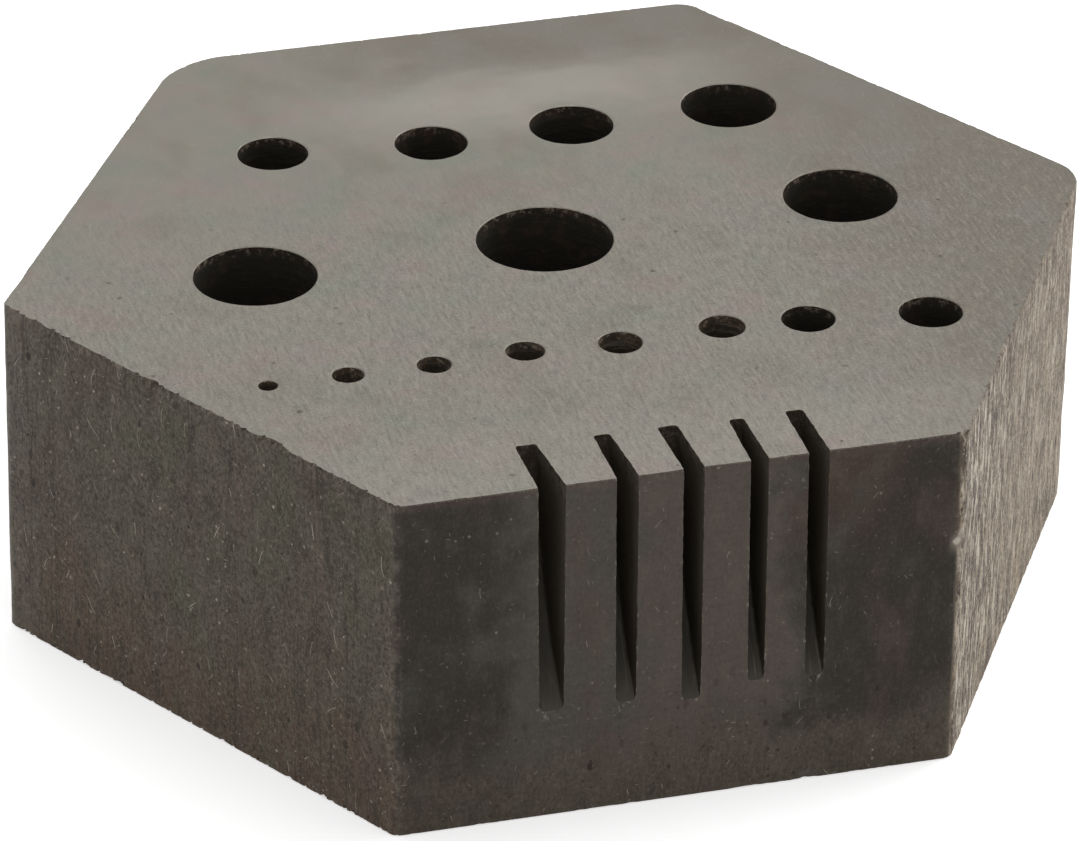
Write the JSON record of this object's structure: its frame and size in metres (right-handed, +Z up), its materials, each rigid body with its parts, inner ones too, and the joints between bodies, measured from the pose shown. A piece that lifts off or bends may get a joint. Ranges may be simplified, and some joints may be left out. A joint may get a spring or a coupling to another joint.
{
  "type": "hexagonal bench anvil",
  "caption": "Hexagonal steel bench block with rows of graded through bores and a comb of saw slots in one side.",
  "frame": {"origin": "centre of the underside, which the block rests on", "axes": "+Z up along the bores, -Y out of the slotted side, +X to the right along that side, corner to corner"},
  "size_m": [0.046, 0.04, 0.015],
  "materials": {
    "steel": "dry dark carbon steel, ground matt on top, with dark scaled sides"
  },
  "bodies": {
    "root": {"anvil_block": "steel"}
  },
  "joints": []
}
